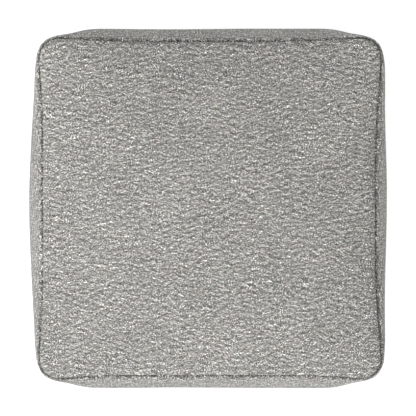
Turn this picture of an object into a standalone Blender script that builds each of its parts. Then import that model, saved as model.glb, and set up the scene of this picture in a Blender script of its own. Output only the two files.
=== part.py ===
"""Cube pouf stool: a filled cloth cube, sewn from a top panel, four side panels and a base panel.

The origin is on the floor, under the middle of the pouf. +Z is up. Seen from above, +X is to the right
and +Y to the back. The body starts as a cube cut into a grid, and each grid point is then set on the
filled surface: the panels swell between the seams, the seams lie in narrow channels and are drawn in
between the corners, and the base is flat where it rests.
"""

import math
from collections import namedtuple

import bmesh
import bpy

MM = 0.001

# The sewn square. The corners reach it, and between them the side panels puff out past it.
HEIGHT = 443.2 * MM  # floor to the top of the crown, before smoothing, which takes 3.2 mm off it
HALF_X = 218.3 * MM
HALF_Y = 217.4 * MM
SQUARE_X = 2.5 * MM  # the square's middle: the left side puffs out more than the right one
CORNER_RADIUS = 30 * MM

# The horizontal seams, round the top panel and round the base panel
TOP_SEAM_Z = 412 * MM  # at the corners
BASE_SEAM_Z = 8 * MM
SEAM_BOW = 5 * MM  # how much nearer they are to half height, halfway along a side
RIM = 4.2 * MM  # how far inside the square they lie at the corners
BASE_DRAW = 0.6  # the base seam is drawn in less than the top one, because the weight spreads it

# The upright seams, one down each corner
CORNER_DRAW = 4.5 * MM  # how far the corners are drawn in at half height
CORNER_DRAW_RUN = 38 * MM  # and how far along the side panels that reaches
CHANNEL = 2.2 * MM  # depth of the sewn channel
CHANNEL_WIDTH = 4 * MM
CHANNEL_FADE = 40 * MM  # it runs out towards the top and base seams over this height

# How the cloth turns over beside a horizontal seam
PANEL_ROLL = 3 * MM  # rise of the top panel straight out of its seam
PANEL_ROLL_WIDTH = 2.4 * MM
SIDE_ROLL = 2.4 * MM  # how far the side panel comes out of the seam before it turns down
SIDE_ROLL_RISE = 1.4 * MM
CORNER_SHOULDER = 14 * MM  # depth over which a side panel reaches its full puff, at the corners
SIDE_SHOULDER = 75 * MM  # and halfway along a side

CROWN_FULLNESS = 0.65  # of the top panel: 1 is a plain dome, less is fuller towards the seams

# The grid: distances of its lines from a seam. The line after the last of them is the panel's middle.
LINES = [d * MM for d in (0, 3.5, 10, 19, 30, 60, 115)]
CELLS = 2 * len(LINES)
SUBDIVISIONS = 1

CONTACT_LINE = 4  # the grid line of the base panel round the flat that rests on the floor
CONTACT_INSET = LINES[CONTACT_LINE]

CLOTH_COLOUR = (0.30, 0.297, 0.28, 1)
CLOTH_ROUGHNESS = 0.95

# axis and sign give the side's outward direction. seam_draw is how far its seams are drawn in halfway
# along it, and puff how far the panel swells past the corners. Each comes in from the corner over its
# own run. puff_hold slows the start of the puff, and over 2 it draws the panel in a little there first.
Side = namedtuple("Side", "axis sign seam_draw seam_run puff puff_run puff_hold")
RIGHT = Side(0, 1, 8.6 * MM, 119 * MM, 2.8 * MM, 188 * MM, 5)
LEFT = Side(0, -1, 5.2 * MM, 100 * MM, 8.0 * MM, 180 * MM, 2)
BACK = Side(1, 1, 5.0 * MM, 115 * MM, 7.8 * MM, 52 * MM, 0)
FRONT = Side(1, -1, 4.6 * MM, 75 * MM, 7.8 * MM, 40 * MM, 0)


def ease(distance, run, hold=0.0):
    """0 at distance 0, rising to 1 at run. hold slows the start."""
    left = 1 - min(max(distance / run, 0), 1)
    return 1 - left**2 * (1 + hold * (1 - left))


def rolled(distance, width):
    """0 at the seam, and nearly 1 once the cloth has turned over, a few widths from it."""
    return 1 - math.exp(-distance / width)


def halves(side):
    """Half size of the square across the side's own direction, and along it."""
    return (HALF_X, HALF_Y) if side.axis == 0 else (HALF_Y, HALF_X)


def half_length(side, inset=0.0):
    """Half the length of a side and half of each corner's arc, on a line inset from the square's edge."""
    radius = max(CORNER_RADIUS - inset, 0)
    straight = halves(side)[1] - inset - radius
    return straight + radius * math.pi / 4


def plan_point(side, along, inset, offset):
    """(x, y) at a signed length along a side, on a line inset from the square's edge and moved out by offset.

    Each corner's arc keeps its middle, so its radius grows with the offset.
    """
    across, half_along = halves(side)
    radius = max(CORNER_RADIUS - inset, 0)
    straight = half_along - inset - radius
    past = max(abs(along) - straight, 0)
    angle = past / radius if radius > 0 else 0
    out = across - inset - radius + (radius + offset) * math.cos(angle)
    reach = min(abs(along), straight) + (radius + offset) * math.sin(angle)
    point = [0, 0]
    point[side.axis] = out * side.sign
    point[1 - side.axis] = math.copysign(reach, along)
    return point[0] + SQUARE_X, point[1]


def from_corner(side, along):
    """Length along the straight part of a side, from where the nearer corner's arc ends."""
    return max(halves(side)[1] - CORNER_RADIUS - abs(along), 0)


def seam_draw(side, along, is_top):
    """How far a horizontal seam lies inside the square's edge."""
    share = 1 if is_top else BASE_DRAW
    return RIM + share * side.seam_draw * ease(from_corner(side, along), side.seam_run, hold=1)


def seam_height(side, along, is_top):
    bow = SEAM_BOW * ease(from_corner(side, along), side.seam_run, hold=1)
    return TOP_SEAM_Z - bow if is_top else BASE_SEAM_Z + bow


def crown(x, y):
    """Height of the crown over its seam, from 0 at the square's edges to 1 in the middle."""
    across = 1 - min(abs(x - SQUARE_X) / HALF_X, 1) ** 2
    deep = 1 - min(abs(y) / HALF_Y, 1) ** 2
    return (across * deep) ** CROWN_FULLNESS


def panel_point(side, along_share, inset, is_top):
    """A point on the top or base panel. along_share is -1 to 1, corner to corner on an inset line."""
    along = along_share * half_length(side, inset)
    reach = 1 - inset / halves(side)[0]
    x, y = plan_point(side, along, inset, -seam_draw(side, along, is_top) * reach)
    seam_z = seam_height(side, along, is_top)
    if not is_top:
        return x, y, seam_z * (1 - ease(inset, CONTACT_INSET))
    bowed_z = TOP_SEAM_Z - (TOP_SEAM_Z - seam_z) * reach**2
    rise = PANEL_ROLL + (HEIGHT - TOP_SEAM_Z - PANEL_ROLL) * crown(x, y)
    return x, y, bowed_z + rise * rolled(inset, PANEL_ROLL_WIDTH)


def side_point(side, along_share, depth, is_top):
    """A point on a side panel, at this cloth length from its top or its base seam, whichever is nearer."""
    along = along_share * half_length(side)
    corner_gap = from_corner(side, along)
    half_depth = (TOP_SEAM_Z - BASE_SEAM_Z) / 2
    share = depth / half_depth

    swell = ease(corner_gap, side.puff_run, side.puff_hold)
    seam = -seam_draw(side, along, is_top)
    width = side.puff * swell - seam
    roll = min(SIDE_ROLL, width / 2)
    turned = rolled(depth, roll)
    shoulder = CORNER_SHOULDER + (SIDE_SHOULDER - CORNER_SHOULDER) * max(swell, 0)
    drawn = CORNER_DRAW * math.sin(share * math.pi / 2) * (1 - ease(corner_gap, CORNER_DRAW_RUN))
    from_edge = half_length(side) - abs(along)
    channel = CHANNEL * math.exp(-from_edge / CHANNEL_WIDTH) * ease(depth, CHANNEL_FADE)
    offset = seam + roll * turned + (width - roll) * ease(depth, shoulder) - drawn - channel
    x, y = plan_point(side, along, 0, offset)

    seam_z = seam_height(side, along, is_top)
    middle_z = (seam_height(side, along, True) + seam_height(side, along, False)) / 2
    lift = (roll + SIDE_ROLL_RISE) * turned * (1 if is_top else -1)
    return x, y, seam_z + lift * (1 - share) + (middle_z - seam_z) * share


def line_length(number, half):
    """Distance of a grid line from the nearer seam, on a panel of this half size."""
    step = min(number, CELLS - number)
    return LINES[step] if step < len(LINES) else half


def side_at(axis, number):
    """The side on whose half of the grid this line lies."""
    low, high = (LEFT, RIGHT) if axis == 0 else (FRONT, BACK)
    return high if number > CELLS / 2 else low


def place(column, row, level):
    """The position of a point of the gridded cube, from its three line numbers."""
    if 0 < level < CELLS:
        on_x = column in (0, CELLS)
        side = side_at(0, column) if on_x else side_at(1, row)
        other = row if on_x else column
        half = half_length(side)
        share = math.copysign(1 - line_length(other, half) / half, other - CELLS / 2)
        depth = line_length(level, (TOP_SEAM_Z - BASE_SEAM_Z) / 2)
        return side_point(side, share, depth, is_top=level >= CELLS / 2)
    steps_in = [min(number, CELLS - number) for number in (column, row)]
    axis = 0 if steps_in[0] <= steps_in[1] else 1
    across, other = (column, row) if axis == 0 else (row, column)
    side = side_at(axis, across)
    inset = line_length(across, halves(side)[0])
    half = half_length(side)
    share = 0
    if inset < half:
        out_from_middle = (half - line_length(other, half)) / (half - inset)
        share = math.copysign(min(out_from_middle, 1), other - CELLS / 2)
    return panel_point(side, share, inset, is_top=level == CELLS)


def grid_numbers(point):
    """The column, row and level of a point of the gridded cube, before it is placed."""
    return [round(c + CELLS / 2) for c in point.co]


def steps_to_seam(point):
    """(column, row) steps from a base panel's point to the nearest seams, or None for any other point."""
    column, row, level = grid_numbers(point)
    return [min(number, CELLS - number) for number in (column, row)] if level == 0 else None


def crease_edges(cage):
    """Keeps the seams sharp, and the flat that rests on the floor level up to its four corners."""
    edge_crease = cage.edges.layers.float.new("crease_edge")
    for edge in cage.edges:
        steps = [steps_to_seam(point) for point in edge.verts]
        on_contact_line = all(pair and min(pair) == CONTACT_LINE for pair in steps)
        if edge.calc_face_angle() > 1 or on_contact_line:
            edge[edge_crease] = 1
    point_crease = cage.verts.layers.float.new("crease_vert")
    for point in cage.verts:
        if steps_to_seam(point) == [CONTACT_LINE, CONTACT_LINE]:
            point[point_crease] = 1


def pouf_mesh():
    """The gridded cube with its edges creased and its points placed."""
    cage = bmesh.new()
    bmesh.ops.create_cube(cage, size=CELLS)
    bmesh.ops.subdivide_edges(cage, edges=cage.edges[:], cuts=CELLS - 1, use_grid_fill=True)
    crease_edges(cage)
    for point in cage.verts:
        point.co = place(*grid_numbers(point))
    mesh = bpy.data.meshes.new("pouf_body")
    cage.to_mesh(mesh)
    cage.free()
    mesh.shade_smooth()
    return mesh


def cloth_material():
    cloth = bpy.data.materials.new("pouf_cloth")
    cloth.use_nodes = True
    shader = cloth.node_tree.nodes["Principled BSDF"]
    shader.inputs["Base Color"].default_value = CLOTH_COLOUR
    shader.inputs["Roughness"].default_value = CLOTH_ROUGHNESS
    shader.inputs["Metallic"].default_value = 0
    return cloth


def main():
    for old in list(bpy.data.objects):
        bpy.data.objects.remove(old)
    parts = bpy.data.collections.new("cube_pouf_stool")
    bpy.context.scene.collection.children.link(parts)
    body = bpy.data.objects.new("pouf_body", pouf_mesh())
    body.data.materials.append(cloth_material())
    parts.objects.link(body)
    smooth = body.modifiers.new("smooth", "SUBSURF")
    smooth.levels = SUBDIVISIONS
    smooth.render_levels = SUBDIVISIONS


main()
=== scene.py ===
"""The cube pouf stool as it looks: its filled, sewn cover, the nubby cloth, a pale floor and soft light.

Lengths are in metres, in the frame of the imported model: +Z is up, and seen from above +X is to the right and
+Y to the back. The camera looks straight down, as the photograph does.
"""

import math
from collections import namedtuple

import bpy
import numpy as np
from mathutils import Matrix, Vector, kdtree, noise


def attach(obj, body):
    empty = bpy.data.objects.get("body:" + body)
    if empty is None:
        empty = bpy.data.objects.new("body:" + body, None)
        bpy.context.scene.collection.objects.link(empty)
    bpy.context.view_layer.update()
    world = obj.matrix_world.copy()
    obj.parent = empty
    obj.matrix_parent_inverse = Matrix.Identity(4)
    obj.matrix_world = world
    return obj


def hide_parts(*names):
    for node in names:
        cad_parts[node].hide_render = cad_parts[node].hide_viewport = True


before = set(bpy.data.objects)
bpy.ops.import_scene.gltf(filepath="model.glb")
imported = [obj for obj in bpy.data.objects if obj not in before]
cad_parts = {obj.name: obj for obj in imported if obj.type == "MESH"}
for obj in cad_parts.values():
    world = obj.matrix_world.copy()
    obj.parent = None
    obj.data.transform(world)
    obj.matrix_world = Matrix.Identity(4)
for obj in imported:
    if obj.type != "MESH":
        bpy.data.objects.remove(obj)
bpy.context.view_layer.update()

MM = 0.001
SAME = 0.01 * MM  # places nearer to each other than this count as one

# ---------------------------------------------------------------------------------------------------------
# The sewn shape
# ---------------------------------------------------------------------------------------------------------

# The square that the corners reach, and past which the side panels puff out
HALF_X = 218.2 * MM
HALF_Y = 217.2 * MM
SQUARE_X = 2.5 * MM  # the square's middle: the left side puffs out more than the right one
CORNER_RADIUS = 30 * MM
CORNER_BLEND = 4 * MM  # how softly a side's own form begins where the corner's arc ends

# The horizontal seams, round the top panel and round the base panel
TOP_SEAM_Z = 412 * MM  # at the corners
BASE_SEAM_Z = 8 * MM
HALF_DEPTH = (TOP_SEAM_Z - BASE_SEAM_Z) / 2
SEAM_BOW = 5 * MM  # how much nearer they are to half height, halfway along a side
RIM = 3.8 * MM  # how far inside the square they lie at the corners
BASE_DRAW = 0.6  # the base seam is drawn in this share as far as the top one

# The upright seams, one down each corner
CORNER_DRAW = 4.5 * MM  # how far the corners are drawn in at half height
CORNER_DRAW_RUN = 38 * MM
CHANNEL = 2.4 * MM  # depth of the sewn channel
CHANNEL_WIDTH = 2.6 * MM
CHANNEL_FADE = 40 * MM  # it deepens over this length, from a horizontal seam

# How the cloth turns over beside a horizontal seam
PANEL_ROLL = 3 * MM
PANEL_ROLL_WIDTH = 2.4 * MM
SIDE_ROLL = 2.4 * MM
SIDE_ROLL_RISE = 1.4 * MM
CORNER_SHOULDER = 14 * MM  # how far from the seam a side panel is at its widest, at the corners
SIDE_SHOULDER = 55 * MM  # and halfway along a side

# The crown and the base
CROWN_TOP = 440 * MM
CROWN_FULLNESS = 0.65  # the lower, the flatter in the middle and the steeper near the seams
CONTACT_INSET = 30 * MM  # the base rests on the floor from this far inside its seam

# The cover's grid: cells along each panel, finer beside the seams, and then one subdivision
CELLS = 64
FINE_CELLS = 6
FINEST = 0.25  # the cell beside a seam, as a share of the even ones

# axis and sign give the side's outward direction. seam_draw is how far its seams are drawn in halfway
# along it, and puff how far the panel swells past the corners. Each comes in from the corner over its
# own run. puff_hold slows the start of the puff, and over 2 it draws the panel in a little there first.
Side = namedtuple("Side", "axis sign seam_draw seam_run puff puff_run puff_hold")
RIGHT = Side(0, 1, 7.6 * MM, 119 * MM, 2.4 * MM, 188 * MM, 5)
LEFT = Side(0, -1, 4.6 * MM, 100 * MM, 7.6 * MM, 180 * MM, 2)
BACK = Side(1, 1, 4.4 * MM, 115 * MM, 7.1 * MM, 52 * MM, 0)
FRONT = Side(1, -1, 4.0 * MM, 75 * MM, 7.2 * MM, 40 * MM, 0)
SIDES = (RIGHT, LEFT, BACK, FRONT)


def ease(distance, run, hold=0.0):
    """0 at distance 0, rising to 1 at run. hold slows the start."""
    left = 1 - np.clip(distance / run, 0, 1)
    return 1 - left**2 * (1 + hold * (1 - left))


def rolled(distance, width):
    """0 at the seam, and nearly 1 once the cloth has turned over, a few widths from it."""
    return 1 - np.exp(-distance / width)


def halves(side):
    """Half size of the square across the side's own direction, and along it."""
    return (HALF_X, HALF_Y) if side.axis == 0 else (HALF_Y, HALF_X)


def half_length(side):
    """Half the length of a side's straight part and half of each corner's arc."""
    return halves(side)[1] - CORNER_RADIUS + CORNER_RADIUS * math.pi / 4


def from_corner(side, along):
    """Length along the straight part of a side, from where the nearer corner's arc ends, softly begun."""
    gap = halves(side)[1] - CORNER_RADIUS - np.abs(along)
    return CORNER_BLEND * np.logaddexp(0, gap / CORNER_BLEND)


def seam_draw(side, along, is_top):
    """How far a horizontal seam lies inside the square's edge."""
    share = 1 if is_top else BASE_DRAW
    return RIM + share * side.seam_draw * ease(from_corner(side, along), side.seam_run, hold=1)


def seam_height(side, along, is_top):
    bow = SEAM_BOW * ease(from_corner(side, along), side.seam_run, hold=1)
    return TOP_SEAM_Z - bow if is_top else BASE_SEAM_Z + bow


def crown(plan):
    """Height of the crown over its seam, from 0 at the square's edges to 1 in the middle."""
    across = 1 - np.minimum(np.abs(plan[:, 0] - SQUARE_X) / HALF_X, 1) ** 2
    deep = 1 - np.minimum(np.abs(plan[:, 1]) / HALF_Y, 1) ** 2
    return (across * deep) ** CROWN_FULLNESS


def in_plan(side, out, reach, along):
    """Plan positions from distances out from the middle towards a side and along it."""
    plan = np.empty((len(along), 2))
    plan[:, side.axis] = out * side.sign + (SQUARE_X if side.axis == 0 else 0)
    plan[:, 1 - side.axis] = np.copysign(reach, along) + (SQUARE_X if side.axis == 1 else 0)
    return plan


def panel_points(side, ring, along_share, is_top):
    """Points on the quarter of the top or base panel beside this side.

    They lie on rings round the panel, rounded squares that shrink from the seam, where ring is 1, to the
    middle, where it is 0. along_share is their place on the ring, from -1 to 1, corner to corner.
    """
    across, half_along = ((half - RIM) * ring for half in halves(side))
    inset = (1 - ring) * (HALF_X + HALF_Y) / 2
    seam_radius = CORNER_RADIUS - RIM
    radius = np.maximum(seam_radius - inset, 0)
    straight = half_along - radius
    arc = radius * math.pi / 4 * CORNER_RADIUS / seam_radius
    length = np.abs(along_share) * (straight + arc)
    angle = np.divide(length - straight, arc, out=np.zeros_like(arc), where=arc > 0).clip(0, 1) * math.pi / 4
    seam_along = along_share * half_length(side)
    draw = (seam_draw(side, seam_along, is_top) - RIM) * ring
    out = across - radius + radius * np.cos(angle) - draw
    reach = np.minimum(length, straight) + radius * np.sin(angle)
    plan = in_plan(side, out, reach, along_share)

    seam_z = seam_height(side, seam_along, is_top)
    if is_top:
        bowed_z = TOP_SEAM_Z - (TOP_SEAM_Z - seam_z) * ring**2
        rise = PANEL_ROLL + (CROWN_TOP - TOP_SEAM_Z - PANEL_ROLL) * crown(plan)
        height = bowed_z + rise * rolled(inset, PANEL_ROLL_WIDTH)
    else:
        height = seam_z * (1 - ease(inset, CONTACT_INSET))
    return np.column_stack([plan, height])


def side_points(side, along_share, depth, is_top):
    """Points on a side panel, at cloth lengths from its top or its base seam, whichever is nearer."""
    half_along = halves(side)[1]
    along = along_share * half_length(side)
    corner_gap = from_corner(side, along)
    share = depth / HALF_DEPTH

    swell = ease(corner_gap, side.puff_run, side.puff_hold)
    seam = -seam_draw(side, along, is_top)
    width = side.puff * swell - seam
    roll = np.minimum(SIDE_ROLL, width / 2)
    turned = rolled(depth, roll)
    shoulder = CORNER_SHOULDER + (SIDE_SHOULDER - CORNER_SHOULDER) * np.maximum(swell, 0)
    drawn = CORNER_DRAW * np.sin(share * math.pi / 2) * (1 - ease(corner_gap, CORNER_DRAW_RUN))
    from_edge = half_length(side) - np.abs(along)
    channel = CHANNEL * np.exp(-from_edge / CHANNEL_WIDTH) * ease(depth, CHANNEL_FADE)
    offset = seam + roll * turned + (width - roll) * ease(depth, shoulder) - drawn - channel

    straight = half_along - CORNER_RADIUS
    angle = np.maximum(np.abs(along) - straight, 0) / CORNER_RADIUS
    out = halves(side)[0] - CORNER_RADIUS + (CORNER_RADIUS + offset) * np.cos(angle)
    reach = np.minimum(np.abs(along), straight) + (CORNER_RADIUS + offset) * np.sin(angle)
    seam_z = seam_height(side, along, is_top)
    middle_z = (seam_height(side, along, True) + seam_height(side, along, False)) / 2
    lift = (roll + SIDE_ROLL_RISE) * turned * (1 if is_top else -1)
    height = seam_z + lift * (1 - share) + (middle_z - seam_z) * share
    return np.column_stack([in_plan(side, out, reach, along), height])


def line_shares():
    """Where the grid's lines lie between the middle of a panel, 0, and its seams, -1 and 1."""
    steps = np.ones(CELLS // 2)
    steps[:FINE_CELLS] = np.linspace(FINEST, 1, FINE_CELLS)
    inwards = np.concatenate([[0], np.cumsum(steps)]) / steps.sum()
    return np.concatenate([inwards[:-1] - 1, 1 - inwards[::-1]])


def placed(shares):
    """Where the gridded cube's points go on the filled shape, from their shares along the three axes."""
    points = np.empty(shares.shape)
    across_x, across_y, upwards = np.abs(shares).T
    for side in SIDES:
        toward, along = shares[:, side.axis], shares[:, 1 - side.axis]
        own = (toward > 0) if side.sign > 0 else (toward <= 0)
        on_wall = own & (upwards < 1) & ((across_x == 1) == (side.axis == 0))
        on_panel = own & (upwards == 1) & ((across_x >= across_y) == (side.axis == 0))
        for is_top in (True, False):
            half = (shares[:, 2] >= 0) == is_top
            mine = on_wall & half
            points[mine] = side_points(side, along[mine], (1 - upwards[mine]) * HALF_DEPTH, is_top)
            mine = on_panel & half
            ring = np.abs(toward[mine])
            on_ring = np.divide(along[mine], ring, out=np.zeros_like(ring), where=ring > 0)
            points[mine] = panel_points(side, ring, on_ring, is_top)
    return points


# ---------------------------------------------------------------------------------------------------------
# Steps on a mesh
# ---------------------------------------------------------------------------------------------------------


def mesh_points(obj):
    points = np.empty(len(obj.data.vertices) * 3)
    obj.data.vertices.foreach_get("co", points)
    return points.reshape(-1, 3)


def mesh_normals(obj):
    normals = np.empty(len(obj.data.vertices) * 3)
    obj.data.vertices.foreach_get("normal", normals)
    return normals.reshape(-1, 3)


def set_mesh_points(obj, points):
    obj.data.vertices.foreach_set("co", points.ravel())
    obj.data.update()


def select_only(obj):
    bpy.ops.object.select_all(action="DESELECT")
    obj.select_set(True)
    bpy.context.view_layer.objects.active = obj


def apply_subdivision(obj):
    select_only(obj)
    modifier = obj.modifiers.new("subdivision", "SUBSURF")
    modifier.levels = modifier.render_levels = 1
    bpy.ops.object.modifier_apply(modifier=modifier.name)


# ---------------------------------------------------------------------------------------------------------
# The cover
# ---------------------------------------------------------------------------------------------------------

# On the cloth's own map the panels lie this far apart, so that no two have the same piece of weave
PANEL_SPACING = 1.0
SIDE_PANELS_END = 3.5 * PANEL_SPACING  # the side panels lie before it, the base and the top past it


def add_grid_cube():
    """A cube cut into a grid. Returns it and its points' shares along the three axes."""
    bpy.ops.object.select_all(action="DESELECT")
    bpy.ops.mesh.primitive_cube_add(size=CELLS)
    cube = bpy.context.active_object
    bpy.ops.object.mode_set(mode="EDIT")
    bpy.ops.mesh.select_all(action="SELECT")
    bpy.ops.mesh.subdivide(number_cuts=CELLS - 1)
    bpy.ops.object.mode_set(mode="OBJECT")
    while cube.data.uv_layers:
        cube.data.uv_layers.remove(cube.data.uv_layers[0])
    numbers = np.rint(mesh_points(cube) + CELLS / 2).astype(int)
    return cube, line_shares()[numbers]


def map_cloth(cover, shares):
    """Gives each panel its flat pattern in metres as the UV map, u along the weave's rows, v across."""
    corners = np.empty(len(cover.data.loops), dtype=np.int32)
    cover.data.loops.foreach_get("vertex_index", corners)
    corners = corners.reshape(-1, 4)
    corner_shares = shares[corners]
    flat = mesh_points(cover)[corners][:, :, :2]
    for axis, sign in [(axis, sign) for axis in range(3) for sign in (-1, 1)]:
        mine = (corner_shares[:, :, axis] == sign).all(axis=1)
        if axis < 2:
            side = next(s for s in SIDES if (s.axis, s.sign) == (axis, sign))
            flat[mine, :, 0] = corner_shares[mine, :, 1 - axis] * half_length(side)
            flat[mine, :, 1] = corner_shares[mine, :, 2] * HALF_DEPTH
        flat[mine, :, 0] += (2 * axis + (sign > 0)) * PANEL_SPACING
    cover.data.uv_layers.new(name="cloth").uv.foreach_set("vector", flat.ravel().astype(np.float32))


SWELL = 3.5 * MM  # the panels start this far inside their form, and are pushed out as far at most
HOLD = 30 * MM  # the seams hold the cloth to its form over a stretch like this
FILL_FRAMES = 20
PRESSURE = 4


def seam_gaps(shares):
    """Rough distance of each point of the grid from the nearest seam."""
    return (1 - np.sort(np.abs(shares), axis=1)[:, 1]) * HALF_X


def fill(cover, shares):
    """Lets the filling swell the panels between their seams, in a short cloth simulation."""
    form = mesh_points(cover)
    on_seam = (np.abs(shares) == 1).sum(axis=1) >= 2
    on_floor = form[:, 2] < SAME
    free = 1 - np.exp(-seam_gaps(shares) / HOLD)
    free[on_floor] = 0
    slack = form - mesh_normals(cover) * (SWELL * free)[:, None]
    set_mesh_points(cover, slack)

    sewn = cover.vertex_groups.new(name="sewn")
    sewn.add([int(i) for i in np.flatnonzero(on_seam | on_floor)], 1, "REPLACE")
    cloth = cover.modifiers.new("cloth", "CLOTH")
    cloth.settings.vertex_group_mass = sewn.name
    cloth.settings.use_pressure = True
    cloth.settings.uniform_pressure_force = PRESSURE
    cloth.settings.effector_weights.gravity = 0
    for number in range(1, FILL_FRAMES + 1):
        bpy.context.scene.frame_set(number)
    select_only(cover)
    bpy.ops.object.modifier_apply(modifier=cloth.name)
    bpy.context.scene.frame_set(1)
    cover.vertex_groups.clear()

    moved = mesh_points(cover) - slack
    length = np.linalg.norm(moved, axis=1)
    filled = slack + moved * np.minimum(1, SWELL / np.maximum(length, SAME))[:, None]
    set_mesh_points(cover, form + (filled - form) * free[:, None])


DITCH = 3.0 * MM  # depth of the line of stitches under the cloth on either side of it
DITCH_WIDTH = 1.3 * MM
DITCH_LUMP = 9 * MM  # its depth varies over lengths like this
DITCH_VARIES = 0.4  # by this share
UPRIGHT_DITCH = 0.6  # the upright seams' depth, as a share of the horizontal ones'
ON_EDGE = 0.9999  # a point whose share along an axis is above this lies on a panel's edge
PUCKER = 0.7 * MM  # the cloth gathers a little where it is sewn
PUCKER_LENGTH = 16 * MM
PUCKER_REACH = 14 * MM
LUMP = 0.9 * MM  # unevenness of the filling
LUMP_LENGTH = 85 * MM


def unevenness(points, length, seed):
    """Smooth noise from -1 to 1 at each point, with lumps of this length."""
    return np.array([noise.noise(Vector(point) / length + Vector((seed, 0, 0))) for point in points])


def sew(cover, shares):
    """Presses the seams in, gathers the cloth beside them and makes the panels a little uneven. Also keeps a
    mask for the painted shade in the seams' ditches.
    """
    points = mesh_points(cover)
    normals = mesh_normals(cover)
    sizes = np.abs(shares)
    seam_ids = np.flatnonzero((sizes > ON_EDGE).sum(axis=1) >= 2)
    from_horizontal = (1 - sizes[seam_ids, 2]) * HALF_DEPTH
    upright = UPRIGHT_DITCH * ease(from_horizontal, CHANNEL_FADE)
    strength = np.where(from_horizontal < SAME, 1, upright)
    tree = kdtree.KDTree(len(seam_ids))
    for place, point in enumerate(points[seam_ids]):
        tree.insert(point, place)
    tree.balance()
    nearest = np.array([tree.find(point)[1:] for point in points])
    seam, gap = nearest[:, 0].astype(int), nearest[:, 1]

    puckers = PUCKER * unevenness(points[seam_ids], PUCKER_LENGTH, seed=3)[seam] * np.exp(-gap / PUCKER_REACH)
    pressed = DITCH * strength * (1 + DITCH_VARIES * unevenness(points[seam_ids], DITCH_LUMP, seed=5))
    depth = pressed[seam] * np.exp(-gap / DITCH_WIDTH)
    lumps = LUMP * unevenness(points, LUMP_LENGTH, seed=7) * (1 - np.exp(-gap / PUCKER_REACH))
    on_floor = points[:, 2] < SAME
    points += normals * (puckers + lumps)[:, None] - normals[seam_ids][seam] * depth[:, None]
    points[:, 2] = np.where(on_floor, 0, points[:, 2].clip(min=0))
    set_mesh_points(cover, points)
    # A mask for painted shade in the seams' ditches, strongest at the seam and fading over the ditch's width
    painted_ditch_shade = cover.data.attributes.new("painted_ditch_shade", "FLOAT", "POINT")
    painted_ditch_shade.data.foreach_set("value", (strength[seam] * np.exp(-((gap / DITCH_WIDTH) ** 2))).astype(np.float32))


def add_cover():
    cover, shares = add_grid_cube()
    cover.name = cover.data.name = "pouf_cover"
    set_mesh_points(cover, placed(shares))
    map_cloth(cover, shares)
    fill(cover, shares)
    kept = cover.data.attributes.new("share", "FLOAT_VECTOR", "POINT")
    kept.data.foreach_set("vector", shares.ravel().astype(np.float32))
    apply_subdivision(cover)
    shares = np.empty(len(cover.data.vertices) * 3)
    cover.data.attributes["share"].data.foreach_get("vector", shares)
    cover.data.attributes.remove(cover.data.attributes["share"])
    sew(cover, shares.reshape(-1, 3))
    cover.data.shade_smooth()
    return cover


# ---------------------------------------------------------------------------------------------------------
# The cloth
# ---------------------------------------------------------------------------------------------------------

CLOTH_GREY = (0.301, 0.298, 0.279)

# Nubs of yarn. Shares of a nub are distances from its middle, in units of its own size.
NUB_LENGTH = 1.2 * MM  # along the rows
NUB_WIDTH = 0.8 * MM
NUB_TOP = 0.1  # share within which it stands at its full height
NUB_FOOT = 0.75  # share at which it meets the ground between the nubs
DARKEST_NUB = 0.6  # in times the cloth's grey
PALEST_NUB = 2.2
PALE_RARITY = 2.5  # the higher, the fewer the pale nubs
NUB_GAP_PAINTED_SHADE = 0.4  # painted shade: the ground between the nubs is darkened to this share of a nub's tone
# painted light: a nub's top is lightened to this share of its tone
NUB_TOP_PAINTED_LIGHT = 1.2
DARK_NUB_HEIGHT = 0.5  # the dark nubs stand this share as high as the pale ones

# Pale and dark stretches: length and width, and how much they lighten and darken the cloth
Shade = namedtuple("Shade", "length width contrast")
FIBRES = Shade(1.3 * MM, 0.85 * MM, 0.85)  # on and between the nubs
THREADS = Shade(1.8 * MM, 13 * MM, 0.24)  # upright, and only on the side panels
CLOUDS = Shade(70 * MM, 70 * MM, 0.04)

# Three sets of rows, which also say how far above and below a raised stretch the cloth sinks, and by
# what share of its height. In the tone the sunk stretches are darker too: painted shade beside the raised ones
Row = namedtuple("Row", "length width contrast spacing sink")
STRANDS = Row(7.0 * MM, 0.8 * MM, 0.28, 2.2 * MM, 0.4)
SHORT_ROWS = Row(3.2 * MM, 1.3 * MM, 0.23, 2.1 * MM, 0.5)
LONG_ROWS = Row(11.0 * MM, 2.5 * MM, 0.28, 3.7 * MM, 0.5)
WAVER = 5.5 * MM  # how far nubs and rows wander across, for a full swing of the noise
WAVER_LENGTH = 24 * MM

NOISE_SWING = 0.25  # noise this far from 0 gives the full contrast
CLOUD_SWING = 0.3
DITCH_PAINTED_SHADE = 0.4  # painted shade: the tone at the bottom of each seam's ditch, in times the cloth's own
RELIEF = 0.8 * MM  # of the nubs and rows, as bump
RELIEF_STRENGTH = 0.45


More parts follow.
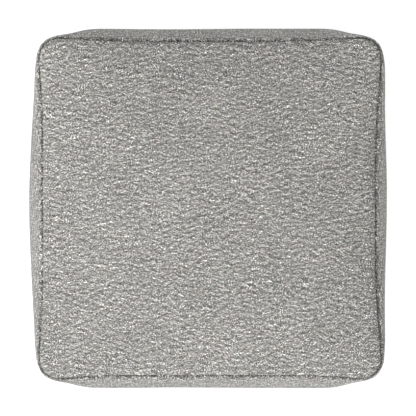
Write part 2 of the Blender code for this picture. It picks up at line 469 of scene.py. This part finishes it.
class Weave:
    """A short way to add linked shader nodes."""

    def __init__(self, tree):
        self.tree = tree

    def add(self, kind, inputs=(), **settings):
        """Adds a node. inputs pairs each input's name or number with a value or another node's output."""
        node = self.tree.nodes.new(kind)
        for name, value in settings.items():
            setattr(node, name, value)
        for name, value in inputs:
            if isinstance(value, bpy.types.NodeSocket):
                self.tree.links.new(value, node.inputs[name])
            else:
                node.inputs[name].default_value = value
        return node

    def math(self, operation, *values):
        node = self.add("ShaderNodeMath", list(enumerate(values)), operation=operation)
        return node.outputs["Value"]

    def scaled(self, place, length, width):
        """The place in units of this length along the rows and this width across them."""
        sizes = (1 / length, 1 / width, 1)
        node = self.add("ShaderNodeVectorMath", [(0, place), (1, sizes)], operation="MULTIPLY")
        return node.outputs["Vector"]

    def noise(self, place, length, width):
        """Smooth noise about 0, from about -0.4 to 0.4, in lumps of this length and width."""
        inputs = [("Vector", self.scaled(place, length, width)), ("Scale", 1.0), ("Detail", 0.0)]
        node = self.add("ShaderNodeTexNoise", inputs, noise_dimensions="2D")
        return self.math("SUBTRACT", node.outputs["Fac"], 0.5)

    def shifted(self, place, across):
        """The place moved this far across the rows. The distance may vary from place to place."""
        shift = self.add("ShaderNodeCombineXYZ", [("Y", across)]).outputs["Vector"]
        node = self.add("ShaderNodeVectorMath", [(0, place), (1, shift)], operation="ADD")
        return node.outputs["Vector"]

    def rows(self, place, row):
        """Noise about 0 in rows, with a low stretch above and below each high one."""
        above, middle, below = (
            self.noise(self.shifted(place, across), row.length, row.width)
            for across in (row.spacing, 0.0, -row.spacing)
        )
        return self.math("MULTIPLY_ADD", self.math("ADD", above, below), -row.sink, middle)

    def remap(self, value, low, high, to_low, to_high, smooth=False):
        names = ("Value", "From Min", "From Max", "To Min", "To Max")
        inputs = list(zip(names, (value, low, high, to_low, to_high)))
        kind = "SMOOTHSTEP" if smooth else "LINEAR"
        return self.add("ShaderNodeMapRange", inputs, interpolation_type=kind).outputs["Result"]

    def shaded(self, tone, noise, contrast, swing=NOISE_SWING):
        """The tone, lighter by this contrast where the noise is high and darker where it is low."""
        return self.math("MULTIPLY", tone, self.remap(noise, -swing, swing, 1 - contrast, 1 + contrast))


def cloth_material():
    """Heavy cloth of a nubby yarn: small raised nubs in wavy rows, each of its own shade of warm grey."""
    material = bpy.data.materials.new("nubby_cloth")
    material.use_nodes = True
    weave = Weave(material.node_tree)
    shader = material.node_tree.nodes["Principled BSDF"]

    flat = weave.add("ShaderNodeUVMap", uv_map="cloth").outputs["UV"]
    waver = weave.noise(flat, WAVER_LENGTH, WAVER_LENGTH)
    wavy = weave.shifted(flat, weave.math("MULTIPLY", waver, WAVER))
    nubs = weave.add(
        "ShaderNodeTexVoronoi",
        [("Vector", weave.scaled(wavy, NUB_LENGTH, NUB_WIDTH)), ("Scale", 1.0)],
        voronoi_dimensions="2D",
    )
    nub_height = weave.remap(nubs.outputs["Distance"], NUB_TOP, NUB_FOOT, 1, 0, smooth=True)
    nub_shade = weave.add("ShaderNodeSeparateColor", [("Color", nubs.outputs["Color"])]).outputs["Red"]
    pale = weave.math("POWER", nub_shade, PALE_RARITY)
    fibres = weave.noise(wavy, FIBRES.length, FIBRES.width)
    strands = weave.rows(wavy, STRANDS)
    short_rows = weave.rows(wavy, SHORT_ROWS)
    long_rows = weave.rows(wavy, LONG_ROWS)
    clouds = weave.noise(flat, CLOUDS.length, CLOUDS.width)
    along = weave.add("ShaderNodeSeparateXYZ", [("Vector", flat)]).outputs["X"]
    on_side = weave.math("LESS_THAN", along, SIDE_PANELS_END)
    threads = weave.math("MULTIPLY", weave.noise(flat, THREADS.length, THREADS.width), on_side)
    painted_ditch_shade = weave.add("ShaderNodeAttribute", attribute_name="painted_ditch_shade").outputs["Fac"]

    tone = weave.math("MULTIPLY_ADD", pale, PALEST_NUB - DARKEST_NUB, DARKEST_NUB)
    # Painted shade between the nubs and painted light on their tops
    tone = weave.math("MULTIPLY", tone, weave.remap(nub_height, 0, 1, NUB_GAP_PAINTED_SHADE, NUB_TOP_PAINTED_LIGHT))
    tone = weave.shaded(tone, fibres, FIBRES.contrast)
    # The rows darken the tone in their sunk stretches: painted shade beside the raised ones
    tone = weave.shaded(tone, strands, STRANDS.contrast)
    tone = weave.shaded(tone, short_rows, SHORT_ROWS.contrast)
    tone = weave.shaded(tone, long_rows, LONG_ROWS.contrast)
    tone = weave.shaded(tone, threads, THREADS.contrast)
    tone = weave.shaded(tone, clouds, CLOUDS.contrast, CLOUD_SWING)
    # Painted shade at the bottom of the seams' ditches
    tone = weave.math("MULTIPLY", tone, weave.remap(painted_ditch_shade, 0, 1, 1, DITCH_PAINTED_SHADE))
    grey = weave.add(
        "ShaderNodeVectorMath", [(0, CLOTH_GREY), ("Scale", tone)], operation="SCALE"
    ).outputs["Vector"]

    nub_tops = weave.math("MULTIPLY_ADD", pale, 1 - DARK_NUB_HEIGHT, DARK_NUB_HEIGHT)
    height = weave.math("MULTIPLY_ADD", nub_height, nub_tops, strands)
    height = weave.math("ADD", height, short_rows)
    bump = weave.add(
        "ShaderNodeBump", [("Height", height), ("Distance", RELIEF), ("Strength", RELIEF_STRENGTH)]
    )
    material.node_tree.links.new(grey, shader.inputs["Base Color"])
    material.node_tree.links.new(bump.outputs["Normal"], shader.inputs["Normal"])
    shader.inputs["Roughness"].default_value = 0.95
    shader.inputs["Specular IOR Level"].default_value = 0.2
    shader.inputs["Sheen Weight"].default_value = 0.12
    shader.inputs["Sheen Roughness"].default_value = 0.5
    return material


cover = add_cover()
cover.data.materials.append(cloth_material())
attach(cover, "root")
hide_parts("pouf_body")

# ---------------------------------------------------------------------------------------------------------
# The floor, the light and the camera
# ---------------------------------------------------------------------------------------------------------

SKY_GLOW = 0.67

Softbox = namedtuple("Softbox", "name x y z size power")  # metres and watts
SOFTBOXES = (
    Softbox("left", -2.3, 0.0, 2.3, 1.4, 65),
    Softbox("front", 0.0, -2.3, 2.3, 1.4, 60),
    Softbox("right", 3.0, 0.6, 1.2, 1.6, 8),
)

FLOOR_SIZE = 24.0
FLOOR_Z = -0.3 * MM  # just below the base, so that the two never share a plane
FLOOR_GLOW = 0.81
FLOOR_COLOUR = (0.3, 0.3, 0.3, 1)

LIGHTS_AIM_Z = 0.4  # the lights are turned to this height over the middle

PHOTO_WIDTH = 416  # pixels
PIXEL = 1.2535 * MM  # what one of them covers
OUTLINE_Z = 335 * MM  # at this height, near the widest part of the side panels
LENS = 1200  # mm, on a 36 mm sensor
SENSOR = 36
VIEW_X = -0.2  # pixels, from the middle of the pouf to the middle of the photograph
VIEW_Y = 0.3


def add_floor():
    bpy.ops.object.select_all(action="DESELECT")
    bpy.ops.mesh.primitive_plane_add(size=FLOOR_SIZE, location=(0, 0, FLOOR_Z))
    bpy.ops.object.transform_apply(location=True, rotation=False, scale=False)
    floor = bpy.context.active_object
    floor.name = "pale_floor"
    material = bpy.data.materials.new("pale_floor")
    material.use_nodes = True
    shader = material.node_tree.nodes["Principled BSDF"]
    shader.inputs["Base Color"].default_value = FLOOR_COLOUR
    shader.inputs["Roughness"].default_value = 0.9
    shader.inputs["Emission Color"].default_value = (1, 1, 1, 1)
    shader.inputs["Emission Strength"].default_value = FLOOR_GLOW
    floor.data.materials.append(material)


def aim(obj, target):
    obj.rotation_euler = (Vector(target) - obj.location).to_track_quat("-Z", "Y").to_euler()


def add_softbox(box):
    bpy.ops.object.light_add(type="AREA", location=(box.x, box.y, box.z))
    lamp = bpy.context.active_object
    lamp.name = box.name
    lamp.data.shape = "DISK"
    lamp.data.size = box.size
    lamp.data.energy = box.power
    aim(lamp, (0, 0, LIGHTS_AIM_Z))


def add_sky():
    world = bpy.data.worlds.new("studio")
    world.use_nodes = True
    world.node_tree.nodes["Background"].inputs["Color"].default_value = (1, 1, 1, 1)
    world.node_tree.nodes["Background"].inputs["Strength"].default_value = SKY_GLOW
    bpy.context.scene.world = world


def add_camera():
    distance = PHOTO_WIDTH * PIXEL * LENS / SENSOR
    bpy.ops.object.camera_add(
        location=(VIEW_X * PIXEL, VIEW_Y * PIXEL, OUTLINE_Z + distance), rotation=(0, 0, 0)
    )
    camera = bpy.context.active_object
    camera.name = "view_from_above"
    camera.data.lens = LENS
    camera.data.sensor_width = SENSOR
    camera.data.clip_end = 2 * distance
    bpy.context.scene.camera = camera


add_floor()
add_sky()
for box in SOFTBOXES:
    add_softbox(box)
add_camera()
bpy.context.scene.view_settings.view_transform = "Standard"
